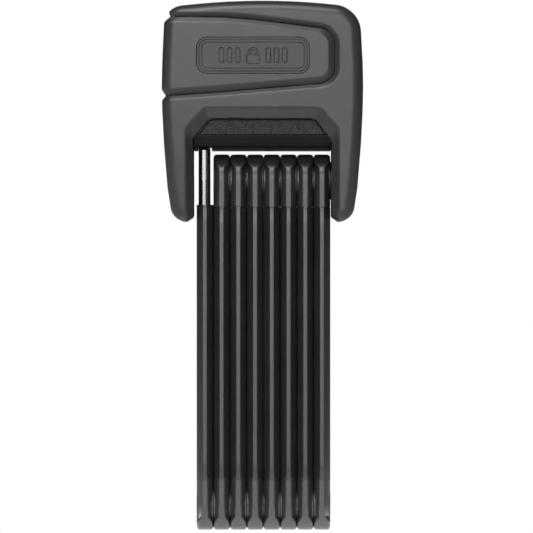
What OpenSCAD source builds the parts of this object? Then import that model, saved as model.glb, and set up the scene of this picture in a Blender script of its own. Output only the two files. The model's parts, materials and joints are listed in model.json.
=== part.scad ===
/* [Links] */
// Number of links in the folded stack
link_count = 8; // [8:8]
// Distance from one link's middle to the next, along the stack
link_pitch = 7.05; // [7.05:0.05:7.1]
// Distance between the two hinge axes of one link
link_length = 136.5; // [130:0.5:145]
// Thickness of a link with its coating
link_t = 7; // [6.7:0.05:7]
// Radius of a link's rounded ends
link_end_r = 11.1; // [11:0.05:11.3]
// Width of the flat strip along a link's edge
edge_flat = 2.3; // [1.5:0.1:3]
// Thickness of the steel plate inside a link
plate_t = 4.9; // [4.5:0.1:5]
// Radius of the steel plate's rounded ends
plate_r = 10.1; // [9.5:0.1:10.2]
// Thickness of the soft sleeve along a link's middle
sleeve_t = 6.95; // [6.6:0.05:6.95]
// Half width of the soft sleeve
sleeve_w = 11.35; // [11.2:0.05:11.6]
// Radius of the round boss around a hinge
boss_r = 8.1; // [7.5:0.1:8.4]
// Radius of a hinge rivet
rivet_r = 4; // [3:0.1:4.5]
// Radius of a hinge rivet's flush head
rivet_head_r = 6.2; // [5.5:0.1:6.4]
// Radius of the tongue's tip about the upper hinge axis
tongue_reach = 13.7; // [13:0.1:13.7]

/* [Head] */
// Widest half width of the lock head
head_hw = 42.3; // [42:0.1:43]
// Depth of the lock head, front to back
head_d = 44; // [43:0.5:46]
// Height of the crown above the links' lower ends
crown_z = 223; // [222:0.5:225]
// Height of the legs' lower ends
leg_z = 130.2; // [128:0.1:132]
// Half width of the opening between the legs
opening_hw = 29.05; // [29:0.01:29.1]
// Height of the lock core's underside
core_z = 160.2; // [160:0.1:160.4]
// Radius of the rounding along the head's edges
edge_r = 4.8; // [3:0.1:5]
// Width and depth of the groove round the side band
groove_w = 4; // [3.6:0.1:4.2]
groove_d = 2; // [1.2:0.1:2.2]

/* [Lock mechanism] */
// Height of the key cylinder's axis
plug_z = 199.6; // [199:0.1:200]
// Radius of the key plug
plug_r = 6.5; // [6:0.1:6.6]
// Radius of the cylinder housing
housing_r = 9.5; // [9:0.1:9.8]
// Radius at which the cam's pin sits off the plug's axis
cam_throw = 3.2; // [3:0.1:3.3]
// Radial clearance of a running fit
fit = 0.05; // [0.03:0.01:0.08]
// Smoothness of round shapes
$fn = 64; // [32:16:128]

/* [Hidden] */

big = 400;
low_z = link_end_r;
high_z = low_z + link_length;
// The stack sits close to the right leg, where its last link is hinged.
stack_right = 25.1;
// The tongue is set over a little inside link 1's coating.
tongue_shift = -0.25;
// Half width of a bar's flat side, where the chamfers towards its edges start.
flat_hw = 7.1;
plate_flat_hw = flat_hw - 0.1;
chamfer_slope = (link_t - edge_flat) / 2 / (link_end_r - flat_hw);
sleeve_low = 21.2;
sleeve_high = 136.2;
tongue_low = 137.3;
// Room at a bar section's rounded ends, so that the ends alone shape it.
end_room = 0.3;
rivet_head_t = 0.6;
// Notch in the tongue's back edge, from its depth out past the edge, and its lower and upper end.
notch_y = 7.2;
notch_low = high_z + 1.6;
notch_high = high_z + 6.4;
front_y = -head_d / 2;
band_t = 2.9;
wall_y = front_y + band_t;
groove_mid = groove_w / 2;
shell_gap = 0.4;
// Cavity of the shells: half width, half depth, height where its corners start and top.
cavity_hw = 36.8;
cavity_hd = 16.9;
cavity_corner_z = 211;
cavity_top = 219;
// Pockets in the legs for the frame's arms.
pocket_x = 31.2;
pocket_hd = 14;
pocket_low = 137.6;
// Screws that close the shells, two near the crown and one in each leg.
leg_x = 33.8;
case_screw_x = [3, 33.4, -leg_x, leg_x];
case_screw_z = [214.6, 214.6, 134.6, 134.6];
case_screw_r = 1.4;
case_screw_head_r = 2.3;
case_screw_seat = 19.4;
column_r = 3.5;
// Core: block inside, cover round it. main_low is where the main cavity starts above both.
main_low = 176.9;
core_hd = 17.6;
core_hw = 28.95;
core_roll = 6.4;
block_hd = 15.4;
block_hw = 28.7;
block_low = 163.6;
slot_x = -24.65;
slot_w = 6.5;
slot_hd = 11.6;
slot_top = 176;
channel_top = core_z + 2;
core_screw_x = [-18, 2];
core_screw_r = 2;
core_screw_low = 169;
// Steel frame: bridge over the block and an arm down each leg.
frame_hw = 36.3;
frame_top = 182.5;
arm_x = 31.3;
arm_t = 5;
arm_r = 9.5;
// Key cylinder, cam and bolt.
plug_left = -39.4;
plug_right = -8.5;
disc_r = plug_r - 1.2;
disc_pitch = 2.45;
disc_t = 1.9;
disc_left = -37.4;
clip_x = -13.9;
clip_t = 1.4;
clip_r = plug_r + 1.2;
key_slot = [2.6, 8.6];
cam_pin = cam_throw / sqrt(2);
cam_pin_r = 1.5;
bolt_x = -5;
bolt_t = 3.2;
bolt_low = 167;
bolt_back = 15.3;
bolt_tip = 12;
bolt_tip_z = 171.5;
bolt_travel = cam_throw * sqrt(2);
bolt_room = 0.3;
// Keyhole flap.
flap_w = 16;
flap_t = 1.5;
flap_low = 190.5;
flap_pin_z = 208.2;
flap_pin_x = -40.65;
flap_pin_r = 0.4;
// Badge plate and its engraving.
badge_x = -3.9;
badge_z = 199.8;
badge_w = 47.2;
badge_h = 15.1;
badge_r = 4.4;
badge_t = 1.2;
engraved_d = 0.4;
// Alarm: siren, battery and the door over it.
siren_x = 22;
siren_z = 209.6;
siren_r = 8.8;
grille_r = 8.1;
grille_ring = 4.4;
battery_y = 5.4;
battery_z = 191.2;
battery_r = 7.4;
battery_left = 6.5;
battery_right = 32.5;
cap_right = 33.4;
door_x = [8.4, 34.4];
door_z = [185.5, 200.5];
door_y = 19.6;
door_t = 2;
door_screw_x = [9.7, 33.1];
door_screw_z = 193;
// Longer than anything that is cut.
far = 30;

plastic = [0.36, 0.37, 0.38];
dark = [0.16, 0.16, 0.17];
soft = [0.13, 0.13, 0.14];
steel = [0.72, 0.73, 0.75];
brass = [0.76, 0.62, 0.34];
green = [0.10, 0.32, 0.20];

function link_x(k) = stack_right - link_pitch * (link_count - k);
function plate_x(k) = link_x(k) + (k == 1 ? tongue_shift : 0);
function odd(k) = k % 2 == 1;
// Which side a link's neighbour is on at each end: 1 is the right, -1 the left.
function low_side(k) = odd(k) ? 1 : -1;
function high_side(k) = odd(k) ? -1 : 1;
// Points of an arc of radius r about [x, z] from angle a to b in n steps.
function arc(x, z, r, a, b, n) = [
    for (i = [0:n]) [x + r * cos(a + (b - a) * i / n), z + r * sin(a + (b - a) * i / n)]
];
function mirrored(points) = [for (i = [len(points) - 1:-1:0]) [-points[i][0], points[i][1]]];

// A flat shape drawn in Y and Z, drawn out along X from x0 to x1.
module along_x(x0, x1) {
    translate([x0, 0, 0]) rotate([90, 0, 90]) linear_extrude(x1 - x0) children();
}
// A flat shape drawn in X and Z, drawn out along Y from y0 to y1.
module along_y(y0, y1) {
    translate([0, y1, 0]) rotate([90, 0, 0]) linear_extrude(y1 - y0) children();
}
module rod_x(x0, x1, y, z, r) {
    translate([x0, y, z]) rotate([0, 90, 0]) cylinder(h = x1 - x0, r = r);
}
module rod_y(x, y0, y1, z, r) {
    translate([x, y1, z]) rotate([90, 0, 0]) cylinder(h = y1 - y0, r = r);
}
module block(x0, x1, y0, y1, z0, z1) {
    translate([x0, y0, z0]) cube([x1 - x0, y1 - y0, z1 - z0]);
}

// ---- Links ----
// Six-sided bar along Z: flat sides, then chamfers that narrow to the edge.
module bar_section(half_t, flat, half_w, z0, z1) {
    tip = half_t - (half_w - flat) * chamfer_slope;
    side = [[-half_t, -flat], [-tip, -half_w], [tip, -half_w], [half_t, -flat]];
    translate([0, 0, z0]) linear_extrude(z1 - z0)
        polygon(concat(side, [for (p = side) [-p[0], -p[1]]]));
}
// Long outline with round ends at both hinge axes.
module long_outline(r, half_t) {
    rod_x(-half_t, half_t, 0, low_z, r);
    rod_x(-half_t, half_t, 0, high_z, r);
    block(-half_t, half_t, -r, r, low_z, high_z);
}
module link_body() {
    intersection() {
        bar_section(link_t / 2, flat_hw, link_end_r + end_room, -1, crown_z);
        long_outline(link_end_r, link_t / 2 + 1);
    }
    for (z = [low_z, high_z]) rod_x(-link_t / 2, link_t / 2, 0, z, boss_r);
}
module plate_body() {
    intersection() {
        bar_section(plate_t / 2, plate_flat_hw, plate_r + end_room, 0, high_z + far);
        long_outline(plate_r, plate_t);
    }
}
// Link 1's plate runs past its coating as the bare tongue.
module tongue_body() {
    intersection() {
        bar_section(plate_t / 2, plate_flat_hw, plate_r + end_room, 0, high_z + far);
        union() {
            rod_x(-plate_t, plate_t, 0, low_z, plate_r);
            block(-plate_t, plate_t, -plate_r, plate_r, low_z, high_z);
            intersection() {
                rod_x(-plate_t, plate_t, 0, high_z, tongue_reach);
                block(-plate_t, plate_t, -plate_r, plate_r, high_z - far, high_z + far);
            }
        }
    }
}
// The bolt drops into this notch in the tongue's back edge.
module tongue_notch() {
    block(-plate_t, plate_t, notch_y, far, notch_low, notch_high);
}
// A hinge hole fits the rivet tightly in the link that holds it and with play in the other.
module hinge_hole(z, held) {
    rod_x(-big, big, 0, z, rivet_r + (held ? 0 : fit));
}
module link_plate(k) {
    color(steel) translate([plate_x(k), 0, 0]) difference() {
        if (k == 1) tongue_body(); else plate_body();
        hinge_hole(low_z, !odd(k));
        if (k > 1) hinge_hole(high_z, odd(k));
        if (k == 1) tongue_notch();
    }
}
module plate_seat(k) {
    translate([plate_x(k) - link_x(k), 0, 0]) {
        if (k == 1) tongue_body(); else plate_body();
    }
}
module link_sleeve(k) {
    top = k == 1 ? tongue_low : sleeve_high;
    color(soft) translate([link_x(k), 0, 0]) difference() {
        bar_section(sleeve_t / 2, plate_flat_hw, sleeve_w, sleeve_low, top);
        plate_seat(k);
    }
}
// Clears the rivet's shank, and its head on the side away from the neighbour.
module cap_holes(z, side) {
    rod_x(-big, big, 0, z, rivet_r + end_room);
    rod_x(side > 0 ? -link_t : 0, side > 0 ? 0 : link_t, 0, z, rivet_head_r + end_room);
}
module link_caps(k) {
    color(dark) translate([link_x(k), 0, 0]) difference() {
        link_body();
        block(-far, far, -far, far, sleeve_low - 0.1, k == 1 ? crown_z : sleeve_high + 0.1);
        plate_seat(k);
        cap_holes(low_z, low_side(k));
        cap_holes(high_z, high_side(k));
    }
}
// Rivet through links k and k + 1; its left head keeps a little play.
module link_rivet(k) {
    z = odd(k) ? low_z : high_z;
    left = plate_x(k) - plate_t / 2 - fit;
    right = plate_x(k + 1) + plate_t / 2;
    color(steel) {
        rod_x(left - rivet_head_t, right + rivet_head_t, 0, z, rivet_r);
        rod_x(left - rivet_head_t, left, 0, z, rivet_head_r);
        rod_x(right, right + rivet_head_t, 0, z, rivet_head_r);
    }
}

// ---- Head: outer shape ----
// Crown arc, corner arcs, sides a little wide (the side planes trim them) and rounded leg ends.
crown_r = 281;
corner_r = 11.7;
corner_x = 29.7;
corner_z = crown_z - crown_r + sqrt(pow(crown_r - corner_r, 2) - corner_x * corner_x);
crown_half = asin(corner_x / (crown_r - corner_r));
leg_r = 6.7;
side_x = 38.7;
// Height of the widest point, and how far the sides lean in below and above it.
wide_z = 187;
low_lean = atan((head_hw - side_x) / 50.3);
high_lean = -2.3;
right_outline = concat(
    [[opening_hw, leg_z + 2], [side_x - leg_r, leg_z]],
    arc(side_x - leg_r, leg_z + leg_r, leg_r, -75, -15, 5),
    [[side_x + 0.9, leg_z + leg_r + 3], [head_hw + 0.4, wide_z]],
    arc(corner_x, corner_z, corner_r, 0, 90 - crown_half, 8)
);
crown = arc(0, crown_z - crown_r, crown_r, 90 - crown_half, 90 + crown_half, 14);
module head_outline() {
    polygon(concat(
        right_outline, [for (i = [1:len(crown) - 2]) crown[i]], mirrored(right_outline)
    ));
}
// Side view of the head: rounded at the crown and under the legs.
module head_profile() {
    r = edge_r;
    y = head_d / 2;
    polygon(concat(
        arc(y - r, leg_z - 0.3 + r, r, -90, 0, 6), arc(y - r, crown_z + 0.1 - r, r, 0, 90, 6),
        arc(r - y, crown_z + 0.1 - r, r, 90, 180, 6), arc(r - y, leg_z - 0.3 + r, r, 180, 270, 6)
    ));
}
// One side plane with rounded front and back edges, leaning by an angle about the widest point.
module side_trim(lean) {
    r = edge_r;
    y = head_d / 2 + 0.03;
    deep = 3 * head_hw;
    translate([head_hw, 0, wide_z]) rotate([0, lean, 0])
        translate([0, 0, -crown_z]) linear_extrude(2 * crown_z) polygon(concat(
            [[-deep, -y]], arc(-r, r - y, r, -90, 0, 6), arc(-r, y - r, r, 0, 90, 6), [[-deep, y]]
        ));
}
module head_solid() {
    intersection() {
        along_y(-far, far) head_outline();
        along_x(-2 * head_hw, 2 * head_hw) head_profile();
        intersection_for(s = [0, 1], lean = [low_lean, high_lean]) mirror([s, 0, 0]) side_trim(lean);
    }
}

// ---- Head: opening between the legs ----
function opening(half, shoulder, top_half, top) = [
    [-half, leg_z - 10], [half, leg_z - 10], [half, shoulder], [top_half, top],
    [-top_half, top], [-half, shoulder]
];
inner_opening = opening(opening_hw, 164.6, 22, 173.4);
outer_opening = opening(opening_hw + 3.2, 168.9, 23.9, 177.9);
opening_bevel = 4;
module opening_cut() {
    along_y(-far, far) polygon(inner_opening);
    for (s = [0, 1]) mirror([0, s, 0]) hull() {
        along_y(front_y - 0.1, front_y) polygon(outer_opening);
        along_y(front_y + opening_bevel - 0.1, front_y + opening_bevel) polygon(inner_opening);
    }
}

// ---- Head: side band and its groove ----
// Region that opens to the left, grown outward by g; right is its right end on the flat face.
function band_points(g, right) = [
    [-60, 184.6 - g], [-37.3, 186 - g], [-16.4, 187.5 - g], [min(8.2, right - 6), 189.2 - g],
    [right - 2.5, 191.5 - g], [right + g, 193.5 - g / 2], [right + g, 205.6 + g / 2],
    [right - 2.5, 208 + g], [min(8.2, right - 6), 210.7 + g],
    [-4.1 + (right - band_right) / 2, 212.1 + g],
    [-16.4 + (right - band_right) / 3, 213.1 + g], [-60, 213.3 + g]
];
band_right = 27.5;
band_right_back = -6;
// Lower and upper end of the groove and of the band at the head's side, and at the groove's bottom.
side_groove = [181.2, 217.3];
side_band_z = [186, 213];
side_deep = [183.6, 215.2];
side_groove_d = 1.6;
// Wedge that flares from the face down to the groove's bottom.
module band_wedge(face_g, deep_g, right) {
    hull() {
        along_y(front_y - 0.1, front_y) polygon(band_points(face_g, right));
        along_y(front_y + groove_d, front_y + groove_d + 0.1) polygon(band_points(deep_g, right));
    }
}
module band_seat(g) {
    along_y(front_y + groove_d, 0) polygon(band_points(groove_mid + g, band_right));
    along_y(0, -front_y - groove_d) polygon(band_points(groove_mid + g, band_right_back));
}
module side_notch(face, deep) {
    bottom = side_groove_d - head_hw;
    hull() {
        block(-2 * head_hw, -head_hw - 0.3, -far, far, face[0], face[1]);
        block(bottom, bottom + 0.1, -far, far, deep[0], deep[1]);
    }
}
module inside_band(gap) {
    block(-head_hw + band_t + gap, 2 * head_hw, wall_y + gap, -wall_y - gap, core_z, crown_z);
}
module shell_band_cuts() {
    band_wedge(groove_w, groove_mid, band_right);
    mirror([0, 1, 0]) band_wedge(groove_w, groove_mid, band_right_back);
    side_notch(side_groove, side_deep);
    difference() {
        band_seat(0.1);
        inside_band(0);
    }
}
module side_band() {
    color(plastic) difference() {
        intersection() {
            head_solid();
            union() {
                band_wedge(0, groove_mid, band_right);
                mirror([0, 1, 0]) band_wedge(0, groove_mid, band_right_back);
                band_seat(0);
            }
            union() {
                deep = [side_deep[0] + 0.1, side_deep[1] - 0.1];
                side_notch(side_band_z, deep);
                block(side_groove_d + 0.05 - head_hw, 2 * head_hw, -far, far, deep[0], deep[1]);
            }
        }
        inside_band(-0.1);
        badge_seat(0.1);
        block(-2 * head_hw, -far, -flap_w / 2 - 0.2, flap_w / 2 + 0.2, flap_low - 0.2, flap_pin_z + 1);
        rod_y(flap_pin_x, -flap_w / 2 - 2.5, flap_w / 2 + 2.5, flap_pin_z, flap_pin_r + 0.1);
    }
}

// ---- Head: badge ----
module round_plate(w, h, r, y0, y1) {
    block(badge_x - w / 2 + r, badge_x + w / 2 - r, y0, y1, badge_z - h / 2, badge_z + h / 2);
    block(badge_x - w / 2, badge_x + w / 2, y0, y1, badge_z - h / 2 + r, badge_z + h / 2 - r);
    for (sx = [-1, 1], sz = [-1, 1])
        rod_y(badge_x + sx * (w / 2 - r), y0, y1, badge_z + sz * (h / 2 - r), r);
}
module badge_seat(grow) {
    round_plate(badge_w + 2 * grow, badge_h + 2 * grow, badge_r, front_y - 1, front_y + badge_t);
}
module engraved_frame(inset, width) {
    inner = inset + width;
    difference() {
        round_plate(badge_w - 2 * inset, badge_h - 2 * inset, badge_r - inset,
            front_y - 1, front_y + engraved_d);
        round_plate(badge_w - 2 * inner, badge_h - 2 * inner, badge_r - inner, front_y - 2, front_y + 1);
    }
}
// Plain padlock sign: body and shackle.
module padlock_sign() {
    half = 2.6;
    body_low = badge_z - 3.4;
    body_high = badge_z + 0.4;
    shackle_z = badge_z + 1.2;
    block(badge_x - half, badge_x + half, front_y - 1, front_y + engraved_d, body_low, body_high);
    difference() {
        rod_y(badge_x, front_y - 1, front_y + engraved_d, shackle_z, 2.1);
        rod_y(badge_x, front_y - 2, front_y + 1, shackle_z, 1.3);
        block(badge_x - half, badge_x + half, front_y - 2, front_y + 1, body_low, body_high + 0.3);
    }
}
module badge() {
    color(plastic) difference() {
        round_plate(badge_w, badge_h, badge_r, front_y, front_y + badge_t);
        engraved_frame(0.8, 0.4);
        engraved_frame(2, 0.4);
        padlock_sign();
    }
}

// ---- Head: shells ----
module hollow() {
    // Room for the core, the bridge and works above it, and both arms in the legs.
    block(-opening_hw, opening_hw, -core_hd - 0.2, core_hd + 0.2, core_z - 0.4, main_low + 0.1);
    difference() {
        along_y(-cavity_hd, cavity_hd) polygon([
            [-cavity_hw, main_low], [cavity_hw, main_low], [cavity_hw, cavity_corner_z],
            [cavity_hw - 7.8, cavity_top], [7.8 - cavity_hw, cavity_top], [-cavity_hw, cavity_corner_z]
        ]);
        for (i = [0:1]) rod_y(case_screw_x[i], -far, far, case_screw_z[i], column_r);
    }
    for (s = [0, 1]) mirror([s, 0, 0])
        block(pocket_x, cavity_hw, -pocket_hd, pocket_hd, pocket_low, main_low + 0.1);
    rod_x(-2 * head_hw, -far, 0, plug_z, housing_r + fit);
    rod_x(opening_hw - 1, pocket_x + 1, 0, high_z, boss_r + 0.1);
}
module shell_screw_cuts() {
    for (i = [0:3]) {
        rod_y(case_screw_x[i], -12.5, far, case_screw_z[i], case_screw_r + 0.05);
        rod_y(case_screw_x[i], case_screw_seat, far, case_screw_z[i], case_screw_head_r + 0.2);
    }
}
// All the space between two depths.
module beyond(y0, y1) {
    block(-2 * head_hw, 2 * head_hw, y0, y1, 0, 2 * crown_z);
}
module shell_cuts() {
    opening_cut();
    shell_band_cuts();
    hollow();
    shell_screw_cuts();
}
module front_shell() {
    color(plastic) difference() {
        head_solid();
        beyond(-shell_gap, far);
        shell_cuts();
    }
}
module door_cut(grow) {
    block(door_x[0] - grow, door_x[1] + grow, door_y - 2, far, door_z[0] - grow, door_z[1] + grow);
}
module back_shell() {
    color(plastic) difference() {
        head_solid();
        beyond(-far, shell_gap);
        shell_cuts();
        difference() {
            door_cut(0.15);
            door_ledge();
        }
        // Way to the battery, inside the ledge.
        block(door_x[0] + 2.6, door_x[1] - 2.6, 10, far, door_z[0] + 2, door_z[1] - 2);
        door_screw_holes(12);
        rod_y(siren_x, 10, far, siren_z, grille_r + 0.1);
    }
}
// Inner rim that the battery door rests on.
module door_ledge() {
    block(0, head_hw, 10, door_y, main_low, crown_z);
}
module door_screw_holes(from) {
    for (x = door_screw_x) rod_y(x, from, far, door_screw_z, 0.9);
}
module shell_seal() {
    color(soft) difference() {
        intersection() {
            head_solid();
            beyond(-shell_gap, shell_gap);
        }
        block(-cavity_hw, cavity_hw, -1, 1, pocket_low, cavity_corner_z);
        shell_cuts();
    }
}

// ---- Head: steel parts ----
module steel_frame() {
    color(steel) difference() {
        union() {
            block(-frame_hw, frame_hw, -block_hd, block_hd, main_low + 0.1, frame_top);
            for (s = [0, 1]) mirror([s, 0, 0]) {
                block(arm_x, arm_x + arm_t, -arm_r, arm_r, high_z, main_low + 1);
                rod_x(arm_x, arm_x + arm_t, 0, high_z, arm_r);
            }
        }
        rod_x(0, 2 * head_hw, 0, high_z, rivet_r);
        bolt_way();
        core_screw_holes();
    }
}
// Clear way for the bolt through its whole travel.
module bolt_way() {
    right = bolt_x + bolt_t + bolt_room;
    back = bolt_back + 0.2;
    low = bolt_low - bolt_room;
    block(bolt_x - bolt_room, right, -3.3 - bolt_travel, back, low, frame_top + 0.5);
    block(slot_x - slot_w / 2 - bolt_room, right, bolt_tip - bolt_room - bolt_travel, back,
        low, bolt_tip_z + bolt_room);
}
module tongue_slot(over) {
    block(slot_x - slot_w / 2, slot_x + slot_w / 2, -slot_hd, slot_hd, high_z, slot_top + over);
}
module tongue_channel() {
    block(slot_x - slot_w / 2, slot_x + slot_w / 2, -far, far, high_z, channel_top);
}
module core_screw_holes() {
    for (x = core_screw_x) translate([x, 0, core_screw_low - 0.1]) cylinder(h = far, r = core_screw_r);
}
module lock_core() {
    color(steel) difference() {
        block(-block_hw, block_hw, -block_hd, block_hd, block_low, main_low);
        tongue_slot(0);
        bolt_way();
        core_screw_holes();
    }
}
module core_screws() {
    color(steel) for (x = core_screw_x) {
        translate([x, 0, core_screw_low]) cylinder(h = frame_top + 0.1 - core_screw_low, r = core_screw_r);
        translate([x, 0, frame_top]) cylinder(h = 2.4, r = 3.6);
    }
}
// Cover that wraps the block: textured front and back, rolled under to a thin lip.
module core_cover() {
    r = core_roll;
    y = core_hd;
    color(dark) difference() {
        along_x(-core_hw, core_hw) polygon(concat(
            [[-y, main_low - 0.1]], arc(r - y, core_z + r, r, 180, 270, 8),
            arc(y - r, core_z + r, r, 270, 360, 8), [[y, main_low - 0.1]]
        ));
        block(-block_hw, block_hw, -block_hd, block_hd, block_low, crown_z);
        tongue_slot(1);
        tongue_channel();
    }
}
module head_bush() {
    color(brass) difference() {
        rod_x(block_hw, arm_x - 0.05, 0, high_z, boss_r);
        rod_x(0, head_hw, 0, high_z, rivet_r);
    }
}
module head_rivet() {
    left = plate_x(link_count) - plate_t / 2 - fit;
    color(steel) {
        rod_x(left - rivet_head_t, frame_hw + 0.3, 0, high_z, rivet_r);
        rod_x(left - rivet_head_t, left, 0, high_z, rivet_head_r);
        rod_x(frame_hw, frame_hw + 0.45, 0, high_z, rivet_r + 1.5);
    }
}

// ---- Head: key cylinder and bolt ----
module cylinder_housing() {
    color(brass) difference() {
        union() {
            rod_x(-39, plug_right - 0.4, 0, plug_z, housing_r);
            // Foot that stands on the steel frame.
            block(-30, -14, -5, 5, frame_top, plug_z);
        }
        rod_x(-2 * head_hw, 0, 0, plug_z, plug_r + fit);
        rod_x(clip_x - 0.1, clip_x + clip_t + 0.1, 0, plug_z, clip_r);
        translate([core_screw_x[0], 0, frame_top - 1]) cylinder(h = 3.7, r = 3.8);
    }
}
// Clip in a groove inside the housing's end that keeps the plug in.
module cylinder_clip() {
    color(steel) difference() {
        rod_x(clip_x, clip_x + clip_t, 0, plug_z, clip_r);
        rod_x(-far, 0, 0, plug_z, plug_r - 0.3);
        block(-far, 0, -1.5, 1.5, plug_z - 12, plug_z);
    }
}
module key_plug() {
    color(brass) difference() {
        rod_x(plug_left, plug_right, 0, plug_z, plug_r);
        rod_x(disc_left, -15, 0, plug_z, disc_r);
        block(plug_left - 1, disc_left + 1, -key_slot[0] / 2, key_slot[0] / 2,
            plug_z - key_slot[1] / 2, plug_z + key_slot[1] / 2);
        difference() {
            rod_x(clip_x - 0.2, clip_x + clip_t + 0.2, 0, plug_z, plug_r + 1);
            rod_x(-far, 0, 0, plug_z, plug_r - 0.4);
        }
    }
}
module detainer_discs() {
    color(steel) for (i = [0:8]) translate([disc_left + i * disc_pitch, 0, 0]) difference() {
        rod_x(0, disc_t, 0, plug_z, disc_r);
        rod_x(-1, disc_t + 1, 0, plug_z, 2.1);
        block(-1, disc_t + 1, -0.7, 0.7, plug_z - 4.2, plug_z + 4.2);
    }
}
// Disc with an off-centre pin that moves the bolt as the key turns.
module cam() {
    color(steel) {
        rod_x(plug_right, bolt_x - 0.4, 0, plug_z, 5.6);
        rod_x(bolt_x - 1, bolt_x + bolt_t - 0.1, cam_pin, plug_z + cam_pin, cam_pin_r);
    }
}
// Plate with a yoke round the cam's pin, a foot, and a finger along to the tongue's notch.
module bolt() {
    half_slot = cam_pin_r + 0.22;
    color(steel) difference() {
        union() {
            block(bolt_x, bolt_x + bolt_t, -3, 8, bolt_tip_z + 0.5, plug_z + 7);
            block(bolt_x, bolt_x + bolt_t, -3, bolt_back, bolt_low, slot_top);
            block(slot_x - slot_w / 2, bolt_x + bolt_t, bolt_tip, bolt_back, bolt_low, bolt_tip_z);
        }
        block(bolt_x - 1, bolt_x + bolt_t + 1, cam_pin - half_slot, cam_pin + half_slot,
            plug_z - 1, plug_z + 5);
    }
}

// ---- Head: keyhole flap ----
module key_flap() {
    color(dark) difference() {
        union() {
            block(flap_pin_x - flap_t / 2, flap_pin_x + flap_t / 2, -flap_w / 2, flap_w / 2,
                flap_low, flap_pin_z);
            rod_y(flap_pin_x, -flap_w / 2, flap_w / 2, flap_pin_z, flap_t / 2);
        }
        rod_y(flap_pin_x, -flap_w, flap_w, flap_pin_z, flap_pin_r + fit);
    }
}
module flap_pin() {
    color(steel) rod_y(flap_pin_x, -flap_w / 2 - 2.4, flap_w / 2 + 2.4, flap_pin_z, flap_pin_r);
}

// ---- Head: alarm ----
module circuit_board() {
    color(green) difference() {
        block(7.5, 35, -8, -6.4, 184.5, 210.5);
        for (x = [10.5, 32], z = [187.5, 207.5]) rod_y(x, -10, 0, z, 1.1);
    }
}
module board_parts() {
    color(dark) {
        block(10, 19, -10.2, -8, 196, 205);
        for (i = [0:2]) block(23, 27, -9.4, -8, 191 + i * 5, 194 + i * 5);
        block(22, 28, -6.4, -3.6, 186.5, 189.5);
    }
}
module siren() {
    color(dark) difference() {
        rod_y(siren_x, 8, cavity_hd - 0.3, siren_z, siren_r);
        rod_y(siren_x, 12, far, siren_z, 1.5);
    }
}
module siren_grille() {
    color(dark) difference() {
        rod_y(siren_x, cavity_hd + 0.1, 21.4, siren_z, grille_r);
        for (a = [0:60:300])
            rod_y(siren_x + grille_ring * cos(a), 10, far, siren_z + grille_ring * sin(a), 1.2);
        rod_y(siren_x, 10, far, siren_z, 1.2);
    }
}
module battery() {
    color(steel) {
        rod_x(battery_left, battery_right, battery_y, battery_z, battery_r);
        rod_x(battery_right, cap_right, battery_y, battery_z, 2.6);
    }
}
// One sprung strip at each end of the battery.
module battery_contacts() {
    color(brass) for (x = [battery_left - 0.6, cap_right])
        block(x, x + 0.6, battery_y - 3, battery_y + 3, frame_top + 0.9, battery_z + 3.8);
}
module battery_door() {
    color(dark) difference() {
        block(door_x[0], door_x[1], door_y, door_y + door_t, door_z[0], door_z[1]);
        door_screw_holes(12);
        for (x = door_screw_x) rod_y(x, 21, far, door_screw_z, 1.25);
    }
}
module door_screws() {
    color(steel) for (x = door_screw_x) {
        rod_y(x, 17, 21.05, door_screw_z, 0.85);
        rod_y(x, 21, 21.5, door_screw_z, 1.15);
    }
}
module case_screws() {
    color(steel) for (i = [0:3]) difference() {
        union() {
            rod_y(case_screw_x[i], -12, case_screw_seat + 0.1, case_screw_z[i], case_screw_r);
            rod_y(case_screw_x[i], case_screw_seat, case_screw_seat + 1.5, case_screw_z[i],
                case_screw_head_r);
        }
        rod_y(case_screw_x[i], case_screw_seat + 0.6, far, case_screw_z[i], 1, $fn = 6);
    }
}

front_shell();
back_shell();
shell_seal();
side_band();
badge();
steel_frame();
lock_core();
core_cover();
core_screws();
cylinder_housing();
cylinder_clip();
circuit_board();
board_parts();
siren();
siren_grille();
battery();
battery_contacts();
battery_door();
door_screws();
case_screws();
head_bush();
head_rivet();
flap_pin();
key_plug();
detainer_discs();
cam();
bolt();
key_flap();
for (k = [1:link_count]) {
    link_plate(k);
    link_sleeve(k);
    link_caps(k);
}
for (k = [1:link_count - 1]) {
    link_rivet(k);
}
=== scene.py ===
"""Folding bike lock: detailed meshes, materials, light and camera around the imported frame."""
import json
import math

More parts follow.
